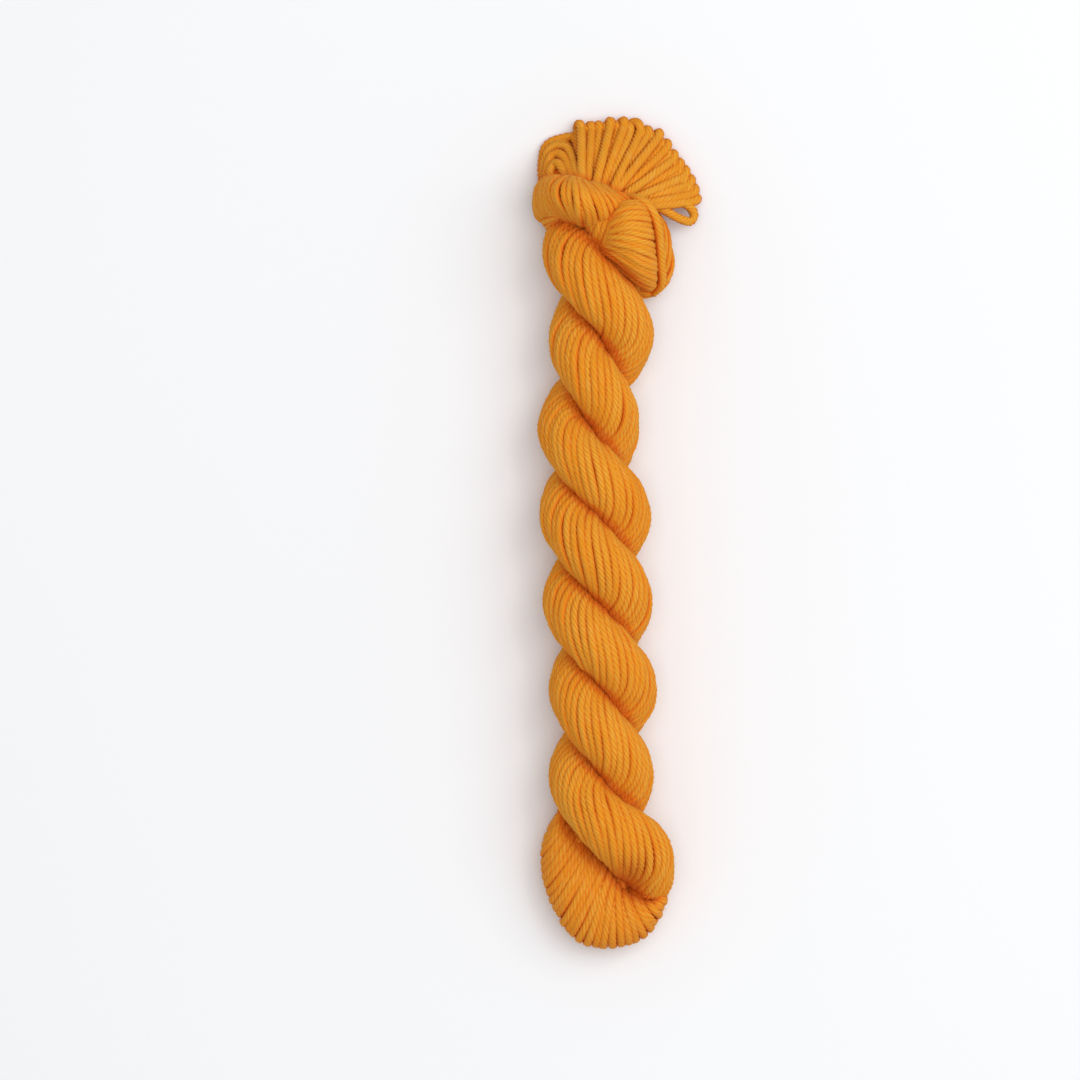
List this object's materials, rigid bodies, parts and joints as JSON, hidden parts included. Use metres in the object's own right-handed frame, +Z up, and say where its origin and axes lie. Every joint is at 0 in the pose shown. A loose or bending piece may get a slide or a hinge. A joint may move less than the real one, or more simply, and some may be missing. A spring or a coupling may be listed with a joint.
{
  "type": "hank of yarn",
  "caption": "Small twisted hank of orange plied wool yarn lying flat: two bundles turned round each other, doubled at the foot, with a wrapped neck and a fan of end loops.",
  "frame": {"origin": "bottom centre of the hank's bounding box, on the surface it lies on", "axes": "+Z up from the surface; +Y along the hank's length, from the doubled fold towards the fan of end loops; +X to the right when seen from above with the fan away from the viewer"},
  "size_m": [0.0513, 0.2504, 0.0357],
  "materials": {
    "orange_wool": "matt plied wool yarn with a soft sheen from loose fibres"
  },
  "bodies": {
    "root": {"hank": "orange_wool"}
  },
  "joints": []
}
